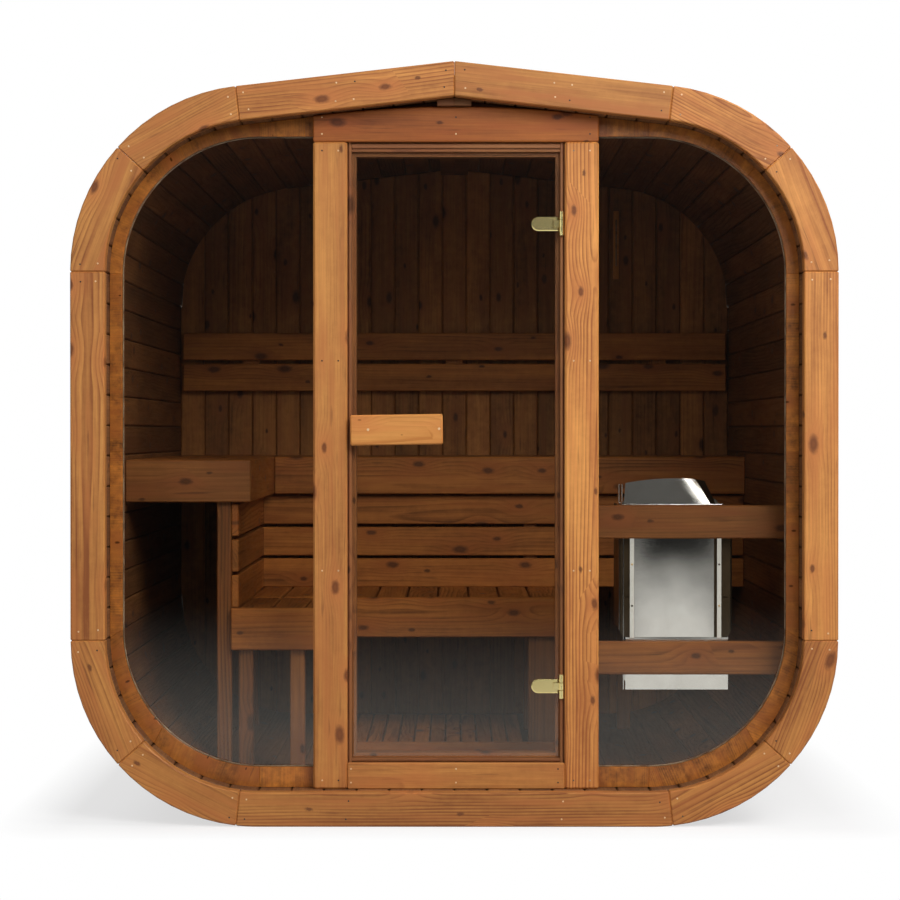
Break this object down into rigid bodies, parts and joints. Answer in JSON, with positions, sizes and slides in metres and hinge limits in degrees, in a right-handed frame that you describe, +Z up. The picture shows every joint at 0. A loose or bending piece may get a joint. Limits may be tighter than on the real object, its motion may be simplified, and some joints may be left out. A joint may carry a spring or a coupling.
{
  "type": "cube sauna",
  "caption": "Timber cube sauna with rounded corners, pitched roof, tinted glass front with a hinged door, stepped corner benches and a hung heater.",
  "frame": {"origin": "on the ground in the middle of the cabin", "axes": "+X to the right along the front, +Y from the front to the back, +Z up"},
  "size_m": [2.06, 2, 2.0536],
  "materials": {
    "trim_wood": "oiled heat-treated pine with dark knots",
    "stave_wood": "heat-treated pine staves",
    "roof_wood": "heat-treated pine boards",
    "frame_wood": "brown stained pine",
    "tinted_glass": "bronze tinted safety glass",
    "handle_wood": "light honey-coloured pine",
    "hinge_brass": "polished brass",
    "heater_steel": "polished stainless sheet",
    "heater_stone": "rough dark sauna stone",
    "bench_wood": "planed heat-treated pine"
  },
  "bodies": {
    "cabin": {"bearers": "stave_wood", "shell_floor": "stave_wood", "shell_left": "stave_wood", "shell_right": "stave_wood", "shell_corner_low_left": "stave_wood", "shell_corner_low_right": "stave_wood", "shell_corner_top_left": "stave_wood", "shell_corner_top_right": "stave_wood", "ceiling_left": "stave_wood", "ceiling_right": "stave_wood", "ridge_strip": "stave_wood", "roof_left": "roof_wood", "roof_right": "roof_wood", "front_ring_top": "trim_wood", "front_ring_sides": "trim_wood", "front_ring_bottom": "trim_wood", "front_ring_top_corners": "trim_wood", "front_ring_low_corners": "trim_wood", "back_ring_top": "trim_wood", "back_ring_sides": "trim_wood", "back_ring_bottom": "trim_wood", "back_ring_corners": "trim_wood", "back_wall": "stave_wood", "wall_frame_left": "frame_wood", "wall_frame_right": "frame_wood", "wall_over_door": "frame_wood", "window_left": "tinted_glass", "window_right": "tinted_glass", "door_post_left": "trim_wood", "door_post_right": "trim_wood", "door_head_board": "trim_wood", "door_sill_board": "trim_wood", "door_jamb_left": "frame_wood", "door_jamb_right": "frame_wood", "door_end_strips": "frame_wood", "hinge_knuckles": "hinge_brass", "upper_bench_rear": "bench_wood", "upper_bench_left": "bench_wood", "skirt_rear": "bench_wood", "skirt_left": "bench_wood", "lower_bench": "bench_wood", "bench_legs": "bench_wood", "backrest": "bench_wood", "floor_grid": "bench_wood", "wall_thermometer": "handle_wood", "heater_rails": "bench_wood", "heater_casing": "heater_steel", "heater_back_plate": "heater_steel", "heater_hood": "heater_steel", "heater_stones": "heater_stone"},
    "door": {"door_glass": "tinted_glass", "door_handle": "handle_wood", "door_handle_inside": "handle_wood", "hinge_plates": "hinge_brass"}
  },
  "joints": [
    {"name": "door_hinge", "type": "hinge", "parent": "cabin", "child": "door", "pos_m": [0.29, -0.93, 1], "axis": [0, 0, 1], "range_deg": [0, 105]}
  ]
}
